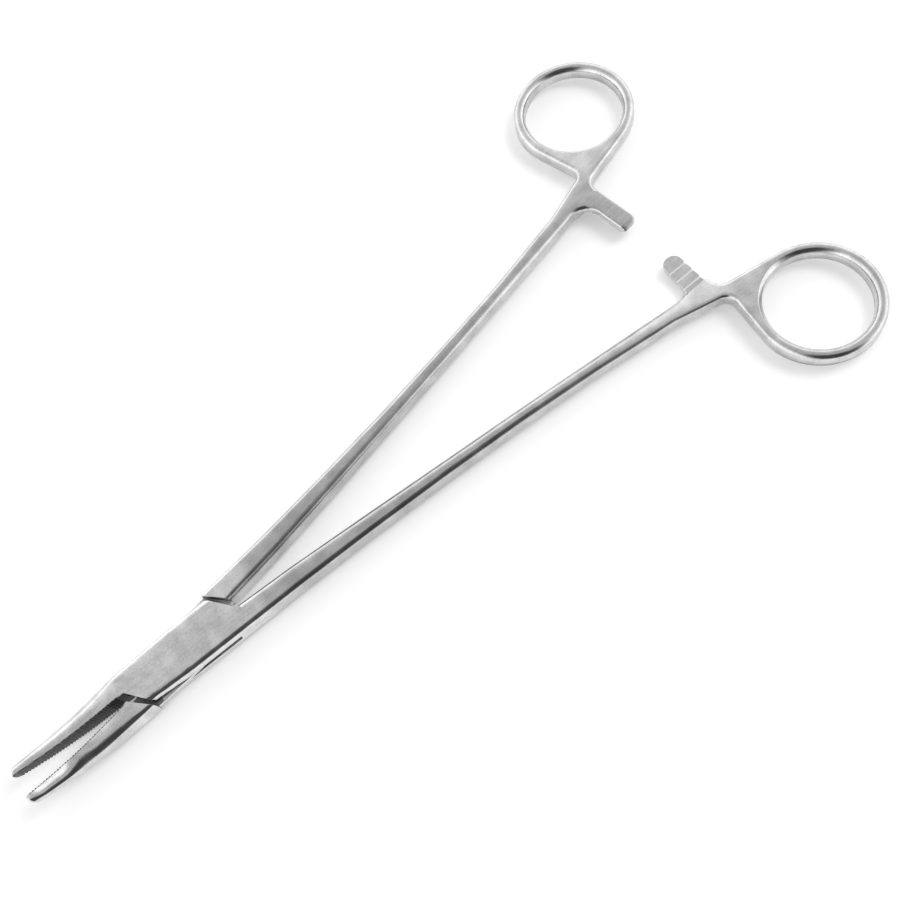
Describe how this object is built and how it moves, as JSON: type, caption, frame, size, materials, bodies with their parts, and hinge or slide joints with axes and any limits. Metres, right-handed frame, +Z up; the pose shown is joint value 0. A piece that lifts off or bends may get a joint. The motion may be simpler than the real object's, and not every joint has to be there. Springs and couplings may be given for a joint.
{
  "type": "surgical needle holder",
  "caption": "Steel needle holder with a box lock, curved serrated jaws, long tapering shanks, a ratchet and two finger rings.",
  "frame": {"origin": "on the pivot's axis, at the underside of the box lock, where the instrument rests on a table", "axes": "+X from the pivot towards the finger rings, midway between the shanks; +Y towards the ring of the male half; +Z up, the way the jaws curve"},
  "size_m": [0.2054, 0.1044, 0.0074],
  "materials": {
    "forged_steel": "satin-ground stainless steel, edges polished round",
    "pin_steel": "stainless pin ground flush with the cheeks"
  },
  "bodies": {
    "box_side": {"box_half": "forged_steel", "pivot_pin": "pin_steel"},
    "male_side": {"male_half": "forged_steel"}
  },
  "joints": [
    {"name": "box_lock_pivot", "type": "hinge", "parent": "box_side", "child": "male_side", "pos_m": [0, 0, 0.0029], "axis": [0, 0, 1], "range_deg": [-7, 20]}
  ]
}
